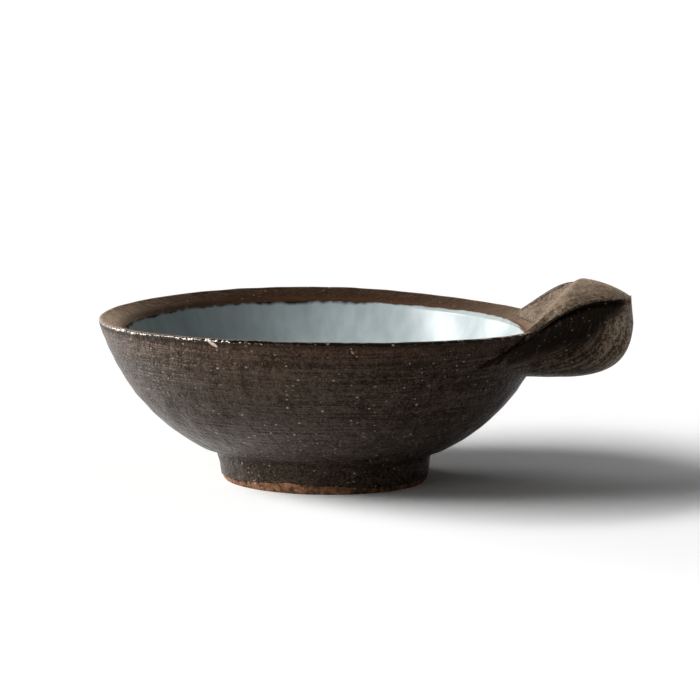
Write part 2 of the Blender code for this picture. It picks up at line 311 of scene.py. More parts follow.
# Pooled glaze, and painted shade in the lug's folds and just under the lip
POOL_AND_SHADE_BLACK = "#0c0805"
WARM_SHINE = "#ffd2a8"
TURNING_LINE = (26, 26, 0.55)
BRUSH_LINE = (16, 0.9, 1000)
MOTTLE = 4
GRAIN = 1.1
DUST_GRAIN = 0.5
STREAK_PATCH = 11
SPECK_CELL = (1.6, 1.6, 1.1)
HOLE_CELL = 2.6
BEAD = 1.8
WALL_LINES = 1.2
LUG_LINES = 2.0
DUST = 1.6
SHADE_LOW = 2.08
SHADE_HIGH = 2.54
CALM_SHADE = 0.05
CALM_SPECKS = 0.2
LINE_RELIEF = 1.5
MOTTLE_RELIEF = 2.5
SPECK_RELIEF = 0.5
HOLE_RELIEF = -1.0
RELIEF_MEAN = 2.5
LIP_BEADS = 1.2
GLAZE_RELIEF = 0.00055
SATIN = (0.15, 0.32)
POOL_ROUGHNESS = 0.7
LIP_ROUGHNESS = 0.08

# Chips in the wall's glaze, just under the lip: place, turn, half size and colour
CHIPS = (
    ((-0.0398, -0.0583, 0.0466), (0.0, 0.51, -0.52), (0.0023, 0.0010, 0.0007), "#d2c3b4"),
    ((-0.0014, -0.0635, 0.0456), (0.0, 0.95, 0.0), (0.0011, 0.0006, 0.0004), "#c39a7c"),
    ((-0.0006, -0.0635, 0.0457), (0.0, -0.86, 0.0), (0.0012, 0.0006, 0.0003), "#74452a"),
)

# Pale glaze: the same, with the width of its stained edge
PALE_DARK = "#9ca7a9"
PALE_LIGHT = "#b0bcbe"
EDGE_BROWN = "#22150c"
PALE_RUN = (3, 3, 40)
PALE_CLOUD = 14
EDGE_DRIP = (3.4, 3.4, 10)
PALE_WAVE = 5
STAIN_FULL = 0.0002
STAIN_END = 0.0017
PALE_ROUGHNESS = 0.3
STAIN_ROUGHNESS = 0.7
PALE_RELIEF = 0.0002

# Bare clay: the same
CLAY_LIGHT = "#ad7a53"
CLAY_DARK = "#432a18"
IRON_SPECK = "#1d120b"
PALE_GRIT = "#b98a63"
SAND = 1.0
CLAY_CLOUD = 2.2
CLAY_SPECK = 1.2
IRON_SHARE = 0.62
SAND_RELIEF = 0.0004


def smooth_step(x):
    """From 0 to 1 and level at both ends: three times the square, less twice the cube."""
    x = np.clip(x, 0.0, 1.0)
    return x * x * (3.0 - 2.0 * x)


def ramp(x, start, end):
    """A smooth step from 0 at the start to 1 at the end, which may be the lower of the two."""
    return smooth_step((x - start) / (end - start))


def bump(x, place, spread):
    """A bell of height 1: e to the minus square of the distance from its place, in spreads."""
    return np.exp(-(((x - place) / spread) ** 2))


def swell(x, height, place, spread):
    """A bump of a height."""
    return height * bump(x, place, spread)


def direction(angle):
    """Unit step in r and z, at an angle above level."""
    return np.array([math.cos(angle), math.sin(angle)])


def bezier(start, start_pull, end_pull, end, count):
    """Points of a cubic curve."""
    t = np.linspace(0.0, 1.0, count)[:, None]
    s = 1.0 - t
    return s**3 * start + 3 * s**2 * t * start_pull + 3 * s * t**2 * end_pull + t**3 * end


def left_normals(line):
    """Unit normals on the left of each point of a line of (r, z) rows."""
    along = np.gradient(line, axis=0)
    along /= np.linalg.norm(along, axis=1)[:, None]
    return np.stack([-along[:, 1], along[:, 0]], axis=1)


def lengths(line):
    """How far each row of a line is along it from its first."""
    steps = np.linalg.norm(np.diff(line, axis=0), axis=1)
    return np.concatenate([[0.0], np.cumsum(steps)])


def spaced(line, count):
    """A line of rows sampled again at even steps of its length."""
    place = lengths(line)
    even = np.linspace(0.0, place[-1], count)
    return np.stack([np.interp(even, place, line[:, k]) for k in range(line.shape[1])], axis=1)


def wander(angle, lowest, highest, seed):
    """A smooth random wave round the axis, about -1 to 1: a sum of cosines of whole counts a turn."""
    draw = np.random.default_rng(seed)
    counts = np.arange(lowest, highest + 1)
    sizes = draw.normal(size=counts.size)
    phases = draw.uniform(0.0, 2 * np.pi, counts.size)
    waves = np.cos(np.multiply.outer(angle, counts) + phases) @ sizes
    return waves / (np.abs(sizes).sum() * 0.5)


def carried_round(line, columns):
    """A line of (r, z) rows carried round the axis: the columns' angles, and grids of radius and height."""
    angle = np.linspace(0.0, 2 * np.pi, columns, endpoint=False)[:, None]
    return angle, np.tile(line[:, 0], (columns, 1)), np.tile(line[:, 1], (columns, 1))


def warp(angle, z):
    """How far the warp of the rim lifts a point at an angle and a height: it fades down to the foot."""
    rim = WARP_MEAN - WARP_SADDLE * np.cos(2 * angle) - WARP_TILT * np.sin(angle)
    rim = rim - swell(angle, *WARP_DIP)
    return rim * (np.clip(z, 0.0, RIM_TOP) / RIM_TOP) ** WARP_BEND


def settle(angle, r, z):
    """Points at an angle, radius and height, moved by the warp, which fades out at the axis. The foot
    is a little off the bowl's axis."""
    lift = warp(angle, z) * ramp(r, 0.0, WARP_FADE)
    shift = FOOT_SHIFT * (1.0 - ramp(z, 0.0, FOOT_SHIFT_END))
    return np.stack([AXIS_X + shift + r * np.cos(angle), r * np.sin(angle), z + lift], axis=-1)


def wall_line(count):
    """Outside of the wall, from the lip down to the foot: one cubic curve that leans in at the lip."""
    lip = LIP_CENTRE + LIP_ROUND * direction(-RIM_LEAN)
    lip_pull = lip - UPPER_BELLY * direction(math.pi / 2 - RIM_LEAN)
    foot_pull = WALL_FOOT + LOWER_BELLY * direction(WALL_RISE)
    return spaced(bezier(lip, lip_pull, foot_pull, WALL_FOOT, CURVE_POINTS), count)


def lip_line(count):
    """Round of the lip, from the bevel over to the wall."""
    angles = np.linspace(math.pi / 2 + BEVEL_SLOPE, -RIM_LEAN, count)
    return LIP_CENTRE + LIP_ROUND * np.stack([np.cos(angles), np.sin(angles)], axis=1)


def inside_line(count):
    """Inside of the wall from the floor up to the bevel: the outside moved in by the wall's thickness."""
    outside = wall_line(CURVE_POINTS)
    share = np.linspace(0.0, 1.0, CURVE_POINTS)[:, None]
    inside = outside - left_normals(outside) * (RIM_WALL + (FOOT_WALL - RIM_WALL) * share)
    inside = inside[inside[:, 1] < RIM_TOP - BEVEL_DROP]
    return spaced(inside[inside[:, 1] > FLOOR_TOP + FLOOR_ROUND][::-1], count)


def floor_line(count):
    """Inside of the floor from the axis out to the wall: level at the axis, then up to the wall's slope."""
    wall = inside_line(FLOOR_POINTS)
    rise = (wall[1] - wall[0]) / np.linalg.norm(wall[1] - wall[0])
    centre = np.array([0.0, FLOOR_TOP])
    level_pull = np.array([wall[0, 0] / 2, FLOOR_TOP])
    edge_pull = wall[0] - rise * (wall[0, 1] - FLOOR_TOP)
    return spaced(bezier(centre, level_pull, edge_pull, wall[0], FLOOR_POINTS), count)


def foot_radius(z):
    """Glazed side of the foot: a taper, with a low ridge under the cove."""
    taper = FOOT_BASE_RADIUS + (FOOT_TOP_RADIUS - FOOT_BASE_RADIUS) * z / FOOT_SIDE_TOP
    return taper + swell(z, *FOOT_RIDGE)


def piece(name, points, material, node_name, closed_line=True, uv=None, marks=None):
    """A closed piece from a grid of points. Rows go round the piece and join up, and so do the columns
    where the line is closed. uv is a grid one larger each way, and marks are point values by name."""
    rows, columns = points.shape[:2]
    index = np.arange(rows * columns).reshape(rows, columns)
    index = np.vstack([index, index[:1]])
    if closed_line:
        index = np.hstack([index, index[:, :1]])
    corners = [index[:-1, :-1], index[1:, :-1], index[1:, 1:], index[:-1, 1:]]
    faces = np.stack(corners, axis=-1).reshape(-1, 4)
    mesh = bpy.data.meshes.new(name)
    mesh.from_pydata(points.reshape(-1, 3).tolist(), [], faces.tolist())
    if uv is not None:
        corners = [uv[:-1, :-1], uv[1:, :-1], uv[1:, 1:], uv[:-1, 1:]]
        flat = np.stack(corners, axis=2).reshape(-1)
        mesh.uv_layers.new(name="length_and_girth").data.foreach_set("uv", flat)
    for mark, values in (marks or {}).items():
        mesh.attributes.new(mark, "FLOAT", "POINT").data.foreach_set("value", values.ravel())
    build = bmesh.new()
    build.from_mesh(mesh)
    bmesh.ops.remove_doubles(build, verts=build.verts[:], dist=1e-6)
    bmesh.ops.recalc_face_normals(build, faces=build.faces[:])
    build.to_mesh(mesh)
    build.free()
    mesh.shade_smooth()
    mesh.materials.append(material)
    obj = bpy.data.objects.new(name, mesh)
    bpy.context.scene.collection.objects.link(obj)
    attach(obj, "root")
    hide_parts(node_name)


def coat_line():
    """Outside of the brown coat as (r, z) rows, from the bevel's foot over the lip, down the wall, in at a
    step, round a cove and down the foot, with the number of the lip's middle row."""
    lip = lip_line(27)
    bevel = spaced(np.stack([inside_line(2)[-1], lip[0]]), 15)[:-1]
    wall = wall_line(131)
    step = SEAM_STEP * ramp(wall[:, 1:], SEAM_HEIGHT, SEAM_HEIGHT - SEAM_SOFT)
    wall = wall - left_normals(wall) * step
    wall = wall[wall[:, 0] > FOOT_TOP_RADIUS + COVE_REACH]
    side_top = np.array([foot_radius(FOOT_SIDE_TOP), FOOT_SIDE_TOP])
    fall = (wall[-1] - wall[-2]) / np.linalg.norm(wall[-1] - wall[-2])
    cove = bezier(wall[-1], wall[-1] + COVE_PULL * fall, side_top + [0.0, COVE_PULL], side_top, 16)
    heights = np.linspace(FOOT_SIDE_TOP, FOOT_GLAZE_LINE, 22)[1:]
    side = np.stack([foot_radius(heights), heights], axis=1)
    return np.vstack([bevel, lip, wall[1:], cove[1:], side]), len(bevel) + len(lip) // 2


def body_coat():
    """The brown coat: its outside line turned round the axis, with a second line under it."""
    top, lip_row = coat_line()
    under = spaced(top - left_normals(top) * COAT, 44)[::-1]
    line = np.vstack([top, under])
    outside = np.arange(len(line)) < len(top)
    angle, r, z = carried_round(line, TURNED_COLUMNS)
    # The lower edge of the coat wanders on the foot.
    runs = FOOT_GLAZE_WAVE * wander(angle, *FOOT_GLAZE_WAVES) + swell(angle, *FOOT_GLAZE_RISE)
    z = z + runs * ramp(z, FOOT_SIDE_TOP, FOOT_GLAZE_LINE)
    # Soft throwing rings and unevenness of the wall and the lip
    height = z / RIM_TOP
    drift = RING_DRIFT * np.sin(angle + RING_DRIFT_TURN)
    rings = RING_HEIGHT * np.sin(2 * np.pi * z / RING_SPACING + drift)
    uneven = UNEVEN * wander(angle, *UNEVEN_WAVES) * np.sin(np.pi * np.clip(height, 0, 1))
    lip_wave = LIP_WAVE * wander(angle, *LIP_WAVES) * ramp(height, LIP_WAVE_START, 1.0)
    # Lumps of thicker glaze low on the wall, in rows of their own
    lumps = 0.0 * r
    for row, at in enumerate(LUMP_HEIGHTS):
        lumps = lumps + wander(angle, *LUMP_WAVES, LUMP_SEED + row) * swell(z, LUMP, at, LUMP_SPREAD)
    r = r + np.where(outside, rings + uneven + lumps, uneven)
    points = settle(angle, r, z + lip_wave)

    length = np.concatenate([lengths(top), np.zeros(len(under))])
    below_lip = length - length[lip_row]
    on_bevel = ramp(below_lip, 0.0, -BEVEL_FADE)
    lip_rust = LIP_RUST * ramp(below_lip, 0.0, LIP_RUST_START) * np.exp(-below_lip / LIP_RUST_FADE)
    # Nearly black just under the lip as painted shade and dark reflection, at the bevel's foot and the seam
    pool_and_shade = swell(below_lip, *LIP_SHADE_BAND) + swell(length, *BEVEL_FOOT_POOL) + swell(line[:, 1], *SEAM_POOL)
    edge_pool = EDGE_POOL * bump(angle, *EDGE_POOL_SIDE) * bump(length, *EDGE_POOL_BAND)
    turned = ramp(below_lip, TURNED_START, TURNED_FULL)
    marks = {
        "rust": BEVEL_RUST * on_bevel + swell(length, *BEVEL_FOOT_RUST) + lip_rust,
        "gloss": bump(below_lip, *LIP_GLOSS_BAND),
        "pool_and_shade": np.maximum(pool_and_shade, edge_pool),
        "worn_and_lit": swell(below_lip, *LIP_WORN),
        "turned": turned * ramp(line[:, 1], SEAM_HEIGHT, SEAM_HEIGHT + TURNED_LOW),
        "calm": BEVEL_CALM * on_bevel,
        "wet": swell(line[:, 1], *WALL_WET),
    }
    marks = {mark: np.broadcast_to(values * outside, r.shape) for mark, values in marks.items()}
    piece("brown_coat", points, brown_glaze("iron_glaze_wall"), "body_glaze", marks=marks)


def pale_liner():
    """The pale glaze inside: floor and wall, then a thin uneven edge that climbs the bevel and ends on it."""
    wall = inside_line(90)
    below = np.vstack([floor_line(50), wall[1:]])
    under = spaced(below - left_normals(below) * COAT, 40)[::-1]
    under[-1, 0] = 0.0
    angle, below_r, below_z = carried_round(below, TURNED_COLUMNS)
    _, under_r, under_z = carried_round(under, TURNED_COLUMNS)
    bevel_top = lip_line(2)[0]
    slope = (bevel_top - wall[-1]) / np.linalg.norm(bevel_top - wall[-1])
    away = np.array([-slope[1], slope[0]])
    share = np.linspace(0.0, 1.0, 11)[1:]
    risen = bump(angle, *EDGE_RISE_SIDE)
    climb = EDGE_CLIMB + EDGE_WAVE * wander(angle, *EDGE_WAVES) + EDGE_RUNS * wander(angle, *EDGE_RUN_WAVES)
    climb = climb + EDGE_RISE * risen
    lift = EDGE_THICK * (np.sqrt(1.0 - share**2) - EDGE_THINNING * share)
    edge_r = wall[-1, 0] + climb * share * slope[0] + lift * away[0]
    edge_z = wall[-1, 1] + climb * share * slope[1] + lift * away[1]
    r = np.hstack([below_r, edge_r, under_r])
    z = np.hstack([below_z, edge_z, under_z])
    # Brown bleeds into the pale glaze along its edge, and less where the edge is crisp.
    length = lengths(below)
    to_edge = np.hstack([length[-1] - length + climb, climb * (1.0 - share), np.ones(under_r.shape)])
    crisp = 1.0 + EDGE_RISE_CRISP * risen + EDGE_POOL_CRISP * bump(angle, *EDGE_POOL_SIDE)
    marks = {"to_edge": to_edge * crisp}
    points = settle(angle, r, z)
    piece("pale_liner", points, pale_glaze(), "liner_glaze", closed_line=False, marks=marks)


def clay_body():
    """The thrown clay between the coats: the coats' lines moved in, closed by the flat underside."""
    inside = np.vstack([floor_line(20), inside_line(40)[1:]])
    inside = inside - left_normals(inside) * CLAY_DEPTH
    inside[0, 0] = 0.0
    lip = lip_line(9)
    lip = lip - left_normals(lip) * CLAY_DEPTH
    wall = wall_line(40)
    wall = (wall - left_normals(wall) * CLAY_DEPTH)[1:]
    wall = wall[wall[:, 1] > UNDERSIDE]
    flat_radii = [wall[-1, 0] - UNDERSIDE_INSET, FOOT_BORE_RADIUS, 0.0]
    flat = np.array([[radius, UNDERSIDE] for radius in flat_radii])
    line = np.vstack([inside, lip, wall, spaced(flat, 40)])
    points = settle(*carried_round(line, CLAY_COLUMNS))
    material = bare_clay("stoneware_clay")
    piece("clay_body", points, material, "thrown_bowl", closed_line=False)


def clay_foot():
    """The clay foot ring: a tapered side, a worn edge, a flat base and a plain bore."""
    heights = np.linspace(UNDERSIDE - FOOT_CLAY_DROP, FOOT_EDGE, 30)
    side = np.stack([foot_radius(heights) - FOOT_CLAY_INSET, heights], axis=1)
    turn = np.linspace(0.0, np.pi / 2, 9)[1:]
    outer = side[-1] + FOOT_EDGE * np.stack([np.cos(turn) - 1.0, -np.sin(turn)], axis=1)
    bore = np.array([FOOT_BORE_RADIUS, FOOT_EDGE])
    inner = bore + FOOT_EDGE * np.stack([1.0 - np.sin(turn), -np.cos(turn)], axis=1)
    flat = spaced(np.stack([outer[-1], inner[0] + [FOOT_EDGE / 5, 0.0]]), 14)[1:-1]
    bore_top = [FOOT_BORE_RADIUS - BORE_TAPER, UNDERSIDE - BORE_TOP_DROP]
    bore_side = spaced(np.array([[FOOT_BORE_RADIUS, BORE_START], bore_top]), 12)
    top = np.array([[RING_TOP_RADIUS, UNDERSIDE - RING_TOP_DROP]])
    line = np.vstack([side, outer, flat, inner, bore_side, top])
    angle, r, z = carried_round(line, FOOT_COLUMNS)
    r = r + wander(angle, *FOOT_WEAR_WAVES) * swell(z, *FOOT_WEAR)
    piece("clay_foot", settle(angle, r, z), bare_clay("stoneware_clay"), "foot_ring")


def lower_side():
    """Places round the lug's lower side, from edge to edge: their shares of the way, and their angles, which
    crowd towards the edges."""
    share = np.linspace(0.0, 1.0, LUG_LOWER_POINTS)
    return share, np.pi * (share - LUG_CROWDING * np.sin(2 * np.pi * share) / (2 * np.pi))


def upper_side():
    """Places across the lug's upper side, from -1 at the front edge to 1 at the back, without the edges."""
    return np.linspace(-1.0, 1.0, LUG_UPPER_POINTS)[1:-1]


def valley_share(reach):
    """How much of the valley behind the lug's front edge there is at a reach: it fades out along the lug."""
    return ramp(reach, VALLEY_END, VALLEY_END - VALLEY_FADE)


def lug_surface(u, clay=False):
    """Points of the lug as (x from the axis, y, z). u runs along it from inside the wall to its tip, and
    each column is a place round it.

    The lower columns are a half ellipse hung from the lug's two edges, with a crease, a hollow and a lip
    under each edge, and shallower at the root. The upper columns are an arch from the front edge to the back
    edge, whose middle climbs from the rim to a hump. The width closes at the tip as a round. The clay is a
    plainer form that stays inside.
    """
    along = 1.0 - (1.0 - u) ** 2
    off_tip = 1.0 - u**4
    inset = CLAY_DEPTH if clay else 0.0
    reach = LUG_REACH - inset - LUG_LENGTH * (1.0 - along)
    half_width = LUG_ROOT_WIDTH / 2 * (1.0 - u) * (1.0 - LUG_NARROWING * along)
    half_width = half_width * (CLAY_WIDTH if clay else 1.0)
    fade = 0.0 if clay else off_tip * ramp(u, 0.0, LUG_ROOT_BLEND)
    level = LUG_ROOT + (LUG_TIP - LUG_ROOT) * (1.0 - (1.0 - along) ** LUG_EDGE_BEND)
    front = level + swell(along, *FRONT_LIFT) * off_tip
    back = level + swell(along, *BACK_LIFT) * off_tip

    angle = lower_side()[1]
    arch = upper_side()
    lower = np.arange(u.shape[1]) < LUG_LOWER_POINTS
    across = np.concatenate([np.cos(angle), arch])
    hang = np.concatenate([np.abs(np.sin(angle)), 0.0 * arch])
    from_edge = np.concatenate([np.minimum(angle, np.pi - angle) / np.pi, 0.0 * arch])

    x = reach + LUG_LOBE_REACH * (hang - 0.5) * u**6
    bulge = swell(from_edge, *LOWER_LIP) - swell(from_edge, *CREASE)
    bulge = bulge - swell(x, *THUMB_FOLD) * ramp(from_edge, 0.0, THUMB_FOLD_START)
    bulge = bulge - swell(from_edge, *HOLLOW) * ramp(x, HOLLOW_END, HOLLOW_END - HOLLOW_FADE)
    bulge = bulge * np.where(across < 0.0, 1.0, BACK_RELIEF) * fade
    tuck = LUG_TUCK * (1.0 - u) ** LUG_TUCK_BEND * hang
    lower_y = across * (half_width - tuck) + np.sign(across) * bulge
    y = np.where(lower, lower_y, across * (half_width + bulge))

    edge = front + (back - front) * (1.0 + across) / 2 - (CLAY_EDGE_DROP * off_tip if clay else 0.0)
    keel = LUG_KEEL + inset + LUG_KEEL_LIFT * (1.0 - u) ** 5 + LUG_END_RISE * u**LUG_KEEL_BEND
    hang_bend = 1.0 + LUG_ROOT_UNDERCUT * (1.0 - u) ** 3
    climb = ramp(x - LUG_CLIMB_SKEW * y, LUG_CLIMB_START, LUG_CLIMB_END)
    fall = (reach - LUG_HUMP_REACH) / (LUG_REACH - inset - LUG_HUMP_REACH)
    fall = np.clip(fall, 0.0, 1.0) ** LUG_FALL_BEND
    lap = LUG_LAP_DROP * (1.0 - ramp(np.hypot(x, y), LUG_LAP_REACH, LUG_LAP_REACH + LUG_LAP_LENGTH))
    middle = LUG_SADDLE + (LUG_HUMP - LUG_SADDLE) * climb - (LUG_HUMP - LUG_TIP) * fall
    middle = middle - lap - inset * off_tip
    arch_bend = 2.0 + LUG_ROOT_ARCH * (1.0 - u) ** 2
    arched = edge + (middle - (front + back) / 2) * (1.0 - np.abs(across) ** arch_bend)
    valley = 0.0 if clay else VALLEY_DEPTH * bump(across, *VALLEY) * valley_share(x)
    z = np.where(lower, edge - (edge - keel) * hang**hang_bend, arched - valley)
    return np.stack([x, y, z], axis=-1)


def wall_gap(points):
    """How far points (x from the axis, y, z) stand outside the warped wall and lip. Points above the lip's
    round count from the bevel."""
    line = np.vstack([lip_line(60), wall_line(300)[1:]])
    top = np.argmax(line[:, 1])
    rise = warp(np.arctan2(points[..., 1], points[..., 0]), points[..., 2])
    radius = np.hypot(points[..., 0], points[..., 1])
    wall = np.interp(points[..., 2] - rise, line[top:, 1][::-1], line[top:, 0][::-1])
    on_bevel = radius - LUG_LAP_REACH - LUG_SINK
    return np.where(points[..., 2] - rise > LIP_CENTRE[1] - LIP_ROUND, on_bevel, radius - wall)


def lug_rings(clay=False):
    """Rings round the lug, from just inside the wall and the bevel to the tip. Each line along the lug is
    the lug's formula from the place where it comes out of the bowl."""
    columns = LUG_LOWER_POINTS + LUG_UPPER_POINTS - 2
    u = np.tile(np.linspace(0.0, 1.0, LUG_SEARCH_STEPS)[:, None], (1, columns))
    outside = wall_gap(lug_surface(u, clay)) > -LUG_SINK
    start = np.argmax(outside, axis=0) / (LUG_SEARCH_STEPS - 1)
    u = start + (1.0 - start) * np.linspace(0.0, 1.0, LUG_STATIONS)[:, None]
    return lug_surface(u, clay)


def ring_normals(rings):
    """Unit normals of a lug's rings, pointing out. Those of the last ring point along the lug."""
    around = np.roll(rings, -1, axis=1) - np.roll(rings, 1, axis=1)
    normals = np.cross(np.gradient(rings, axis=0), around)
    normals[-1] = (1.0, 0.0, 0.0)
    return normals / np.linalg.norm(normals, axis=2)[..., None]


def smeared(rings):
    """A lug's rings with their lower sides drawn along the wall, most where they touch it."""
    share = lower_side()[0]
    from_edge = np.minimum(share, 1.0 - share)
    sides = ramp(from_edge, *SMEAR_RISE) * ramp(from_edge, *SMEAR_FALL)
    sides = np.concatenate([sides, np.zeros(LUG_UPPER_POINTS - 2)])
    gap = np.clip(wall_gap(rings), 0.0, LUG_SMEAR_REACH)
    radius = np.hypot(rings[..., 0], rings[..., 1])
    turn = np.arctan2(rings[..., 1], rings[..., 0])
    smear = LUG_SMEAR * sides * (1.0 - gap / LUG_SMEAR_REACH) ** 3
    turn = turn + np.sign(turn) * smear / radius
    return np.stack([radius * np.cos(turn), radius * np.sin(turn), rings[..., 2]], axis=-1)


def brush_map(along):
    """Where each point of the lug's coat is on the brush's lines. The brush went round the outline of the
    lower side, and along the upper side. The second set of rings has the map of the first, turned back."""
    hang = np.sin(lower_side()[1])
    beside, above = along[:, :LUG_LOWER_POINTS], along[:, LUG_LOWER_POINTS:]
    top = BRUSH_TOP_OFFSET + BRUSH_TOP_GIRTH * upper_side() + 0.0 * above
    across = np.hstack([BRUSH_GIRTH * (beside**4 + hang**4) ** 0.25, top])
    down = np.hstack([BRUSH_SWEEP * np.arctan2(hang, beside), BRUSH_TOP_LENGTH * above])
    uv = np.stack([np.vstack([down, down[::-1]]).T, np.vstack([across, across[::-1]]).T], axis=-1)
    uv = np.concatenate([uv, uv[-1:]])
    return np.concatenate([uv, uv[:, -1:]], axis=1)


def lug_marks(reach, along):
    """What the lug's coat shows at each point of its rings. The glaze is thin on the upper side, and thicker
    again towards the rim; the upper side and a line along its front crest are also painted light. The whole
    lug is painted lighter as painted light, the round end most. The crease, the hollow and the valley are
    painted
    nearly black: painted shade, partly pooled glaze."""
    share, angle = lower_side()
    arch = upper_side()
    from_edge = np.minimum(share, 1.0 - share)
    # Paler upper side and front crest, less near the rim: thin glaze and painted light
    upper = np.concatenate([1.0 - ramp(from_edge, 0.0, WORN_AND_LIT_EDGE), np.ones(len(arch))])
    crest = np.concatenate([np.where(share < 0.5, 0.0, 1.0), bump(arch, *WORN_AND_LIT_CREST)])
    rim = WORN_AND_LIT_AT_RIM + (1.0 - WORN_AND_LIT_AT_RIM) * ramp(reach, *WORN_AND_LIT_RIM_REACH)
    # Paler all over, and most at the round end: painted light
    end = ramp(along, PAINTED_LIGHT_END_START, 1.0)
    worn_and_lit = np.maximum(upper * np.maximum(rim, crest), PAINTED_LIGHT_SIDES + PAINTED_LIGHT_END * end)
    # Nearly black in the crease, hollow and valley: painted shade, partly pooled glaze
    under_edge = np.minimum(angle, np.pi - angle) / np.pi
    depth = POOL_SHADE_DEPTH - POOL_SHADE_NARROWING * ramp(along[:, :LUG_LOWER_POINTS], *POOL_SHADE_NARROW_ALONG)
    pool_and_shade = ramp(under_edge, 0.0, POOL_SHADE_EDGE) * ramp(under_edge, depth, depth - POOL_SHADE_FADE)
    pool_and_shade = pool_and_shade * ramp(reach[:, :LUG_LOWER_POINTS], *POOL_SHADE_TIP_REACH)
    behind = bump(arch, *VALLEY) * valley_share(reach[:, LUG_LOWER_POINTS:])
    pool_and_shade = np.clip(np.hstack([pool_and_shade, behind]), 0.0, 1.0)
    lined = 1.0 - LINED_LESS * ramp(along, LINED_LESS_START, 1.0)
    return {"pool_and_shade": pool_and_shade, "worn_and_lit": worn_and_lit, "turned": lined}


def lug_coat():
    """The brown coat of the lug: its rings, with its sides smeared along the wall, and a second set of rings
    under them. Rows go round the lug: out along it on the outside, and back along it on the inside."""
    rings = lug_rings()
    inner = rings - ring_normals(rings) * COAT
    grid = np.vstack([smeared(rings), inner[::-1]]).transpose(1, 0, 2) + [AXIS_X, 0.0, 0.0]
    reach = rings[..., 0]
    along = np.clip(1.0 - (LUG_REACH - reach) / LUG_LENGTH, 0.0, 1.0)
    shown = lug_marks(reach, along)
    marks = {mark: shown.get(mark, 0.0 * along) for mark in BROWN_MARKS}
    marks = {mark: np.vstack([values, 0.0 * values]).T for mark, values in marks.items()}
    material = brown_glaze("iron_glaze_lug", on_lug=True)
    piece("lug_coat", grid, material, "lug_glaze", uv=brush_map(along), marks=marks)


def clay_lug():
    """The clay of the lug, inside its coat: every second ring of the plainer form, closed at the root."""
    rings = lug_rings(clay=True)[::2, ::2]
    root = np.broadcast_to(rings[:1].mean(axis=1, keepdims=True), rings[:1].shape)
    grid = np.vstack([root, rings]).transpose(1, 0, 2) + [AXIS_X, 0.0, 0.0]
    material = bare_clay("stoneware_clay")
    piece("clay_lug", grid, material, "lug_handle", closed_line=False)


def linear(code):
    """Linear colour of an sRGB hex value."""
    parts = [int(code[k : k + 2], 16) / 255 for k in (1, 3, 5)]
    return (*[p / 12.92 if p <= 0.04045 else ((p + 0.055) / 1.055) ** 2.4 for p in parts], 1.0)


def add(tree, kind, inputs=None, **settings):
    """Adds one node. Inputs are values, or other nodes' sockets, by name or place. A Mix node has its numbers
    at places 2 and 3, its colours at 6 and 7, and its mixed colour at output 2."""
    made = tree.nodes.new("ShaderNode" + kind)
    for key, value in settings.items():
        setattr(made, key, value)
    for key, value in (inputs or {}).items():
        if isinstance(value, bpy.types.NodeSocket):
            tree.links.new(value, made.inputs[key])
        else:
            made.inputs[key].default_value = value
    return made


def per_mm(*sizes):
    """Scale of a pattern whose features are that many millimetres across, or its scales along each axis."""
    scales = [1000.0 / size for size in sizes]
    return scales if len(scales) > 1 else scales[0]


def new_material(name):
    """An empty material, and its node tree."""
    material = bpy.data.materials.new(name)
    material.use_nodes = True
    material.node_tree.nodes.clear()
    return material, material.node_tree


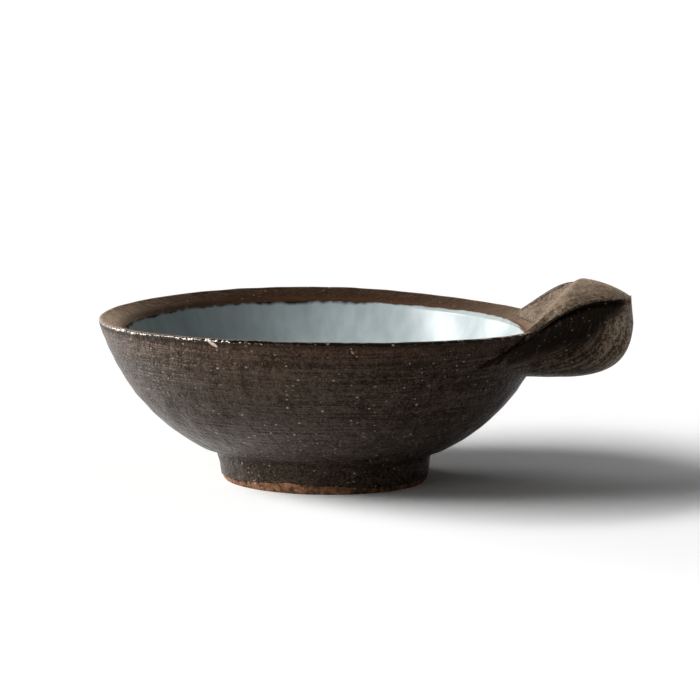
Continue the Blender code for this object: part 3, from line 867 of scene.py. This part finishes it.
def brown_glaze(name, on_lug=False):
    """Iron-bearing stoneware glaze, dipped and fired to a satin brown. It shows the turning lines of the clay
    under it, or the brush's lines on the lug, pale specks of feldspar, dark pin holes, rust where it is thin,
    and a glossy lip painted nearly black as a dark reflection. Pools of black are partly painted shade, and
    paler thin glaze on the lug is partly painted light."""
    material, tree = new_material(name)
    place = add(tree, "TexCoord")
    solid = place.outputs["Object"]
    mark = {kind: add(tree, "Attribute", attribute_name=kind).outputs["Fac"] for kind in BROWN_MARKS}
    if on_lug:
        stretch = {"Vector": place.outputs["UV"], "Scale": per_mm(*BRUSH_LINE)}
    else:
        stretch = {"Vector": solid, "Scale": per_mm(*TURNING_LINE)}
    along = add(tree, "Mapping", stretch)
    lines = add(tree, "TexNoise", {"Vector": along.outputs[0], "Scale": 1.0, "Detail": 3.0, "Roughness": 0.6})
    half = 0.5 / (LUG_LINES if on_lug else WALL_LINES)
    ends = {"Value": lines.outputs[0], "From Min": 0.5 - half, "From Max": 0.5 + half}
    lines = add(tree, "MapRange", ends)
    mottle, grain, dust = [
        add(tree, "TexNoise", {"Vector": solid, "Scale": per_mm(size), "Detail": detail, "Roughness": rough})
        for size, detail, rough in ((MOTTLE, 3.0, 0.65), (GRAIN, 3.0, 0.6), (DUST_GRAIN, 2.0, 0.7))
    ]

    # The lines fade to an even grey away from the turned part of the wall. The shade is all four patterns
    # added up, and the bevel's is even and dark.
    lines = add(tree, "Mix", {"Factor": mark["turned"], 2: 0.5, 3: lines.outputs[0]})
    shade = add(tree, "Math", {0: lines.outputs[0], 1: mottle.outputs[0]}, operation="ADD")
    shade = add(tree, "Math", {0: shade.outputs[0], 1: grain.outputs[0]}, operation="ADD")
    shade = add(tree, "Math", {0: dust.outputs[0], 1: DUST, 2: shade.outputs[0]}, operation="MULTIPLY_ADD")
    shade = add(tree, "MapRange", {"Value": shade.outputs[0], "From Min": SHADE_LOW, "From Max": SHADE_HIGH})
    shade = add(tree, "Mix", {"Factor": mark["calm"], 2: shade.outputs[0], 3: CALM_SHADE})
    tones = []
    for dark, light_tone in ((BROWN_DARK, BROWN_LIGHT), (WORN_AND_LIT_DARK, WORN_AND_LIT_LIGHT)):
        tone = add(tree, "ValToRGB", {"Fac": shade.outputs[0]})
        tone.color_ramp.elements[0].color = linear(dark)
        tone.color_ramp.elements[1].color = linear(light_tone)
        tones.append(tone.outputs[0])
    # Paler where the glaze is thin, and on the lug also as painted light
    ends = {"Factor": mark["worn_and_lit"], 6: tones[0], 7: tones[1]}
    colour = add(tree, "Mix", ends, data_type="RGBA", clamp_factor=False)

    # Rust where the glaze is thin, in patches
    ends = {"Value": mottle.outputs[0], "From Min": 0.3, "From Max": 0.6, "To Min": 0.5}
    patches = add(tree, "MapRange", ends)
    rusty = add(tree, "Math", {0: mark["rust"], 1: patches.outputs[0]}, operation="MULTIPLY")
    # Thin pale lines that the turning left, here and there
    streaks = add(tree, "MapRange", {"Value": lines.outputs[0], "From Min": 0.64, "From Max": 0.82})
    where = add(tree, "TexNoise", {"Vector": solid, "Scale": per_mm(STREAK_PATCH), "Detail": 2.0})
    ends = {"Value": where.outputs[0], "From Min": 0.42, "From Max": 0.6, "To Max": 0.5}
    where = add(tree, "MapRange", ends)
    streak = add(tree, "Math", {0: streaks.outputs[0], 1: where.outputs[0]}, operation="MULTIPLY")
    # Pale specks about half a millimetre across, each of its own strength, and few on the bevel
    flat = add(tree, "Mapping", {"Vector": solid, "Scale": per_mm(*SPECK_CELL)})
    cells = add(tree, "TexVoronoi", {"Vector": flat.outputs[0], "Scale": 1.0})
    draw = add(tree, "SeparateColor", {"Color": cells.outputs["Color"]})
    size = add(tree, "MapRange", {"Value": draw.outputs[0], "From Min": 0.3, "To Max": 0.33})
    speck = add(tree, "Math", {0: size.outputs[0], 1: cells.outputs["Distance"]}, operation="SUBTRACT")
    speck = add(tree, "MapRange", {"Value": speck.outputs[0], "From Max": 0.12, "To Max": 0.95})
    speck = add(tree, "Math", {0: speck.outputs[0], 1: draw.outputs[1]}, operation="MULTIPLY")
    few = add(tree, "MapRange", {"Value": mark["calm"], "To Min": 1.0, "To Max": CALM_SPECKS})
    speck = add(tree, "Math", {0: speck.outputs[0], 1: few.outputs[0]}, operation="MULTIPLY")
    # Pin holes
    cells = add(tree, "TexVoronoi", {"Vector": solid, "Scale": per_mm(HOLE_CELL)})
    draw = add(tree, "SeparateColor", {"Color": cells.outputs["Color"]})
    size = add(tree, "MapRange", {"Value": draw.outputs[0], "From Min": 0.6, "To Max": 0.22})
    hole = add(tree, "Math", {0: size.outputs[0], 1: cells.outputs["Distance"]}, operation="SUBTRACT")
    hole = add(tree, "MapRange", {"Value": hole.outputs[0], "From Max": 0.08})

    # Each layer covers those before it. Black lip: painted dark reflection. Pools: partly painted shade
    layers = [
        (rusty.outputs[0], RUST),
        (mark["gloss"], LIP_BLACK),
        (mark["pool_and_shade"], POOL_AND_SHADE_BLACK),
        (streak.outputs[0], STREAK_TAN),
        (speck.outputs[0], SPECK_TAN),
        (hole.outputs[0], PIN_HOLE),
    ]
    # Chips under the lip show the clay.
    for spot, turn, half_size, tone in () if on_lug else CHIPS:
        spot = {"Vector": solid, "Location": spot, "Rotation": turn, "Scale": half_size}
        chip = add(tree, "Mapping", spot, vector_type="TEXTURE")
        chip = add(tree, "TexGradient", {"Vector": chip.outputs[0]}, gradient_type="SPHERICAL")
        total = {0: grain.outputs[0], 1: 0.8, 2: chip.outputs["Fac"]}
        chip = add(tree, "Math", total, operation="MULTIPLY_ADD")
        chip = add(tree, "MapRange", {"Value": chip.outputs[0], "From Min": 0.62, "From Max": 0.78})
        layers.append((chip.outputs[0], tone))
    for mask, tone in layers:
        ends = {"Factor": mask, 6: colour.outputs[2], 7: linear(tone)}
        colour = add(tree, "Mix", ends, data_type="RGBA")

    # Satin, with a rougher sheen in the pools and painted shade, and a smooth lip
    ends = {"From Min": 0.3, "From Max": 0.7, "To Min": SATIN[0], "To Max": SATIN[1]}
    satin = add(tree, "MapRange", {"Value": grain.outputs[0], **ends})
    satin = add(tree, "Mix", {"Factor": mark["pool_and_shade"], 2: satin.outputs[0], 3: POOL_ROUGHNESS})
    satin = add(tree, "Mix", {"Factor": mark["gloss"], 2: satin.outputs[0], 3: LIP_ROUGHNESS})
    # The patterns are relief too, apart from the bevel. The glaze of the lip and of the wet part of the wall
    # is smooth and gathers in beads. Both heights are about zero on average.
    relief = grain.outputs[0]
    shares = ((lines, LINE_RELIEF), (mottle, MOTTLE_RELIEF), (speck, SPECK_RELIEF), (hole, HOLE_RELIEF))
    for pattern, share in shares:
        total = {0: pattern.outputs[0], 1: share, 2: relief}
        relief = add(tree, "Math", total, operation="MULTIPLY_ADD").outputs[0]
    relief = add(tree, "Math", {0: relief, 1: RELIEF_MEAN}, operation="SUBTRACT")
    relief = add(tree, "Mix", {"Factor": mark["calm"], 2: relief.outputs[0], 3: 0.0})
    beads = add(tree, "TexNoise", {"Vector": solid, "Scale": per_mm(BEAD), "Detail": 1.0})
    ends = {"Value": beads.outputs[0], "To Min": -LIP_BEADS / 2, "To Max": LIP_BEADS / 2}
    beads = add(tree, "MapRange", ends)
    shiny = add(tree, "Math", {0: mark["gloss"], 1: mark["wet"]}, operation="ADD")
    relief = add(tree, "Mix", {"Factor": shiny.outputs[0], 2: relief.outputs[0], 3: beads.outputs[0]})
    bumps = add(tree, "Bump", {"Height": relief.outputs[0], "Strength": 1.0, "Distance": GLAZE_RELIEF})
    finish = {
        "Base Color": colour.outputs[2],
        "Roughness": satin.outputs[0],
        "IOR": 1.5,
        "Specular IOR Level": 0.25,
        "Specular Tint": linear(WARM_SHINE),
        "Coat Weight": shiny.outputs[0],
        "Coat Roughness": 0.05,
        "Coat Normal": bumps.outputs[0],
        "Normal": bumps.outputs[0],
    }
    shader = add(tree, "BsdfPrincipled", finish)
    add(tree, "OutputMaterial", {"Surface": shader.outputs[0]})
    return material


def pale_glaze():
    """Pale blue-grey feldspar glaze, poured and fired glossy, with faint runs down the wall, soft clouds, and
    brown drips along its edge."""
    material, tree = new_material("feldspar_glaze")
    solid = add(tree, "TexCoord").outputs["Object"]
    runs = add(tree, "Mapping", {"Vector": solid, "Scale": per_mm(*PALE_RUN)})
    runs = add(tree, "TexNoise", {"Vector": runs.outputs[0], "Scale": 1.0, "Detail": 3.0})
    clouds = add(tree, "TexNoise", {"Vector": solid, "Scale": per_mm(PALE_CLOUD), "Detail": 2.0})
    blend = add(tree, "Math", {0: runs.outputs[0], 1: clouds.outputs[0]}, operation="ADD")
    mixed = add(tree, "MapRange", {"Value": blend.outputs[0], "From Min": 0.7, "From Max": 1.3})
    base = add(tree, "ValToRGB", {"Fac": mixed.outputs[0]})
    base.color_ramp.elements[0].color = linear(PALE_DARK)
    base.color_ramp.elements[1].color = linear(PALE_LIGHT)
    to_edge = add(tree, "Attribute", attribute_name="to_edge")
    drips = add(tree, "Mapping", {"Vector": solid, "Scale": per_mm(*EDGE_DRIP)})
    drips = add(tree, "TexNoise", {"Vector": drips.outputs[0], "Scale": 1.0, "Detail": 3.0})
    ends = {"Value": drips.outputs[0], "From Min": 0.35, "From Max": 0.68, "To Max": EDGE_BLEED}
    drips = add(tree, "MapRange", ends)
    stain = add(tree, "Math", {0: to_edge.outputs["Fac"], 1: drips.outputs[0]}, operation="SUBTRACT")
    ends = {"From Min": STAIN_FULL, "From Max": STAIN_END, "To Min": 1.0, "To Max": 0.0}
    stain = add(tree, "MapRange", {"Value": stain.outputs[0], **ends})
    ends = {"Factor": stain.outputs[0], 6: base.outputs[0], 7: linear(EDGE_BROWN)}
    base = add(tree, "Mix", ends, data_type="RGBA")
    ends = {"Value": stain.outputs[0], "To Min": PALE_ROUGHNESS, "To Max": STAIN_ROUGHNESS}
    rough = add(tree, "MapRange", ends)
    waves = add(tree, "TexNoise", {"Vector": solid, "Scale": per_mm(PALE_WAVE)})
    bumps = add(tree, "Bump", {"Height": waves.outputs[0], "Strength": 0.4, "Distance": PALE_RELIEF})
    finish = {
        "Base Color": base.outputs[2],
        "Roughness": rough.outputs[0],
        "IOR": 1.5,
        "Specular IOR Level": 0.35,
        "Normal": bumps.outputs[0],
    }
    shader = add(tree, "BsdfPrincipled", finish)
    add(tree, "OutputMaterial", {"Surface": shader.outputs[0]})
    return material


def bare_clay(name):
    """Bare iron-rich stoneware, turned and fired: sandy, with dark iron specks and paler grit."""
    material, tree = new_material(name)
    solid = add(tree, "TexCoord").outputs["Object"]
    sand = add(tree, "TexNoise", {"Vector": solid, "Scale": per_mm(SAND), "Detail": 4.0, "Roughness": 0.75})
    clouds = add(tree, "TexNoise", {"Vector": solid, "Scale": per_mm(CLAY_CLOUD), "Detail": 2.0})
    blend = add(tree, "Math", {0: sand.outputs[0], 1: clouds.outputs[0]}, operation="ADD")
    mixed = add(tree, "MapRange", {"Value": blend.outputs[0], "From Min": 0.8, "From Max": 1.2})
    base = add(tree, "ValToRGB", {"Fac": mixed.outputs[0]})
    base.color_ramp.elements[0].color = linear(CLAY_DARK)
    base.color_ramp.elements[1].color = linear(CLAY_LIGHT)
    cells = add(tree, "TexVoronoi", {"Vector": solid, "Scale": per_mm(CLAY_SPECK)})
    draw = add(tree, "SeparateColor", {"Color": cells.outputs["Color"]})
    size = add(tree, "MapRange", {"Value": draw.outputs[0], "From Min": 0.25, "To Max": 0.45})
    speck = add(tree, "Math", {0: size.outputs[0], 1: cells.outputs["Distance"]}, operation="SUBTRACT")
    speck = add(tree, "MapRange", {"Value": speck.outputs[0], "From Max": 0.1})
    tone = add(tree, "ValToRGB", {"Fac": draw.outputs[1]})
    tone.color_ramp.interpolation = "CONSTANT"
    tone.color_ramp.elements[0].color = linear(IRON_SPECK)
    tone.color_ramp.elements[1].color = linear(PALE_GRIT)
    tone.color_ramp.elements[1].position = IRON_SHARE
    ends = {"Factor": speck.outputs[0], 6: base.outputs[0], 7: tone.outputs[0]}
    colour = add(tree, "Mix", ends, data_type="RGBA")
    bumps = add(tree, "Bump", {"Height": sand.outputs[0], "Strength": 0.9, "Distance": SAND_RELIEF})
    finish = {"Base Color": colour.outputs[2], "Roughness": 0.85, "IOR": 1.5, "Normal": bumps.outputs[0]}
    shader = add(tree, "BsdfPrincipled", finish)
    add(tree, "OutputMaterial", {"Surface": shader.outputs[0]})
    return material


def stage():
    """A wide table top covered in matt white paper. The camera sees it a little brighter than it is, so that
    it renders white, and it gives back less light on the lug's side."""
    mesh = bpy.data.meshes.new("table")
    corners = [(x * TABLE_HALF, y * TABLE_HALF, 0.0) for x, y in ((-1, -1), (1, -1), (1, 1), (-1, 1))]
    mesh.from_pydata(corners, [], [(0, 1, 2, 3)])
    material, tree = new_material("white_paper")
    rays = add(tree, "LightPath")
    place = add(tree, "TexCoord")
    sides = add(tree, "SeparateXYZ", {0: place.outputs["Object"]})
    ends = {"From Min": -FALL_OFF, "From Max": FALL_OFF, "To Min": TABLE_NEAR, "To Max": TABLE_FAR}
    lit = add(tree, "MapRange", {"Value": sides.outputs["X"], **ends})
    ends = {"Factor": rays.outputs["Is Camera Ray"], 2: lit.outputs[0], 3: TABLE_SEEN}
    seen = add(tree, "Mix", ends)
    shader = add(tree, "BsdfDiffuse", {"Color": seen.outputs[0]})
    add(tree, "OutputMaterial", {"Surface": shader.outputs[0]})
    mesh.materials.append(material)
    table = bpy.data.objects.new("table", mesh)
    bpy.context.scene.collection.objects.link(table)


def lamp(name, strength, angle, turn, height):
    """One far soft lamp, at a turn from -X towards the camera and a height above the table."""
    level = math.cos(height)
    toward = Vector((-level * math.cos(turn), -level * math.sin(turn), math.sin(height)))
    data = bpy.data.lights.new(name, "SUN")
    data.energy = strength
    data.angle = angle
    obj = bpy.data.objects.new(name, data)
    obj.rotation_mode = "QUATERNION"
    obj.rotation_quaternion = toward.to_track_quat("Z", "Y")
    bpy.context.scene.collection.objects.link(obj)


def light():
    """A row of soft lamps on the left, as one long soft box, a low fill behind and one in front, and a dim
    sky that is brighter on one side."""
    for place in np.linspace(-1.0, 1.0, KEY_LAMPS):
        turn = KEY_TURN + place * KEY_SPREAD
        lamp("key", KEY_STRENGTH / KEY_LAMPS, KEY_ANGLE, turn, KEY_HEIGHT - place * KEY_TILT)
    lamp("back_fill", BACK_STRENGTH, FILL_ANGLE, BACK_TURN, BACK_HEIGHT)
    lamp("front_fill", FRONT_STRENGTH, FILL_ANGLE, FRONT_TURN, FRONT_HEIGHT)
    world = bpy.data.worlds.new("sky")
    bpy.context.scene.world = world
    world.use_nodes = True
    tree = world.node_tree
    tree.nodes.clear()
    around = add(tree, "TexCoord").outputs["Generated"]
    side = add(tree, "VectorMath", {0: around, 1: SKY_SIDE}, operation="DOT_PRODUCT")
    ends = {"Value": side.outputs["Value"], "From Min": SKY_START, "To Min": SKY_DARK, "To Max": SKY_BRIGHT}
    glow = add(tree, "MapRange", ends, interpolation_type="SMOOTHSTEP")
    # The white backdrop behind the bowl, as its glossy parts see it, a little warm
    back = add(tree, "VectorMath", {0: around, 1: BACKDROP_SIDE}, operation="DOT_PRODUCT")
    ends = {"From Min": BACKDROP_START, "From Max": BACKDROP_FULL, "To Max": BACKDROP_GLOSS}
    ends = {"Value": back.outputs["Value"], **ends}
    backdrop = add(tree, "MapRange", ends, interpolation_type="SMOOTHSTEP")
    rays = add(tree, "LightPath")
    total = {0: backdrop.outputs[0], 1: rays.outputs["Is Glossy Ray"], 2: glow.outputs[0]}
    glow = add(tree, "Math", total, operation="MULTIPLY_ADD")
    ends = {"Factor": rays.outputs["Is Glossy Ray"], 6: linear(WHITE), 7: linear(BACKDROP_TINT)}
    tint = add(tree, "Mix", ends, data_type="RGBA")
    shine = add(tree, "Background", {"Color": tint.outputs[2], "Strength": glow.outputs[0]})
    add(tree, "OutputWorld", {"Surface": shine.outputs[0]})


def camera():
    """The camera at the photograph's viewing angle."""
    data = bpy.data.cameras.new("camera")
    data.lens = CAMERA_LENS
    data.sensor_width = SENSOR
    data.clip_end = CAMERA_FAR
    obj = bpy.data.objects.new("camera", data)
    level = math.cos(CAMERA_PITCH)
    look = (-math.sin(CAMERA_TURN) * level, math.cos(CAMERA_TURN) * level, -math.sin(CAMERA_PITCH))
    roll = Quaternion((0.0, 0.0, 1.0), CAMERA_ROLL)
    obj.rotation_mode = "QUATERNION"
    obj.rotation_quaternion = Vector(look).to_track_quat("-Z", "Y") @ roll
    obj.location = CAMERA_PLACE
    bpy.context.scene.collection.objects.link(obj)
    bpy.context.scene.camera = obj


body_coat()
pale_liner()
clay_body()
clay_foot()
lug_coat()
clay_lug()
for node_name in ("foot_luting_slip", "lug_luting_slip"):
    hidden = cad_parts[node_name]
    hidden.data.materials.clear()
    hidden.data.materials.append(bare_clay("fired_slip"))
stage()
light()
camera()
bpy.context.scene.view_settings.view_transform = "Standard"
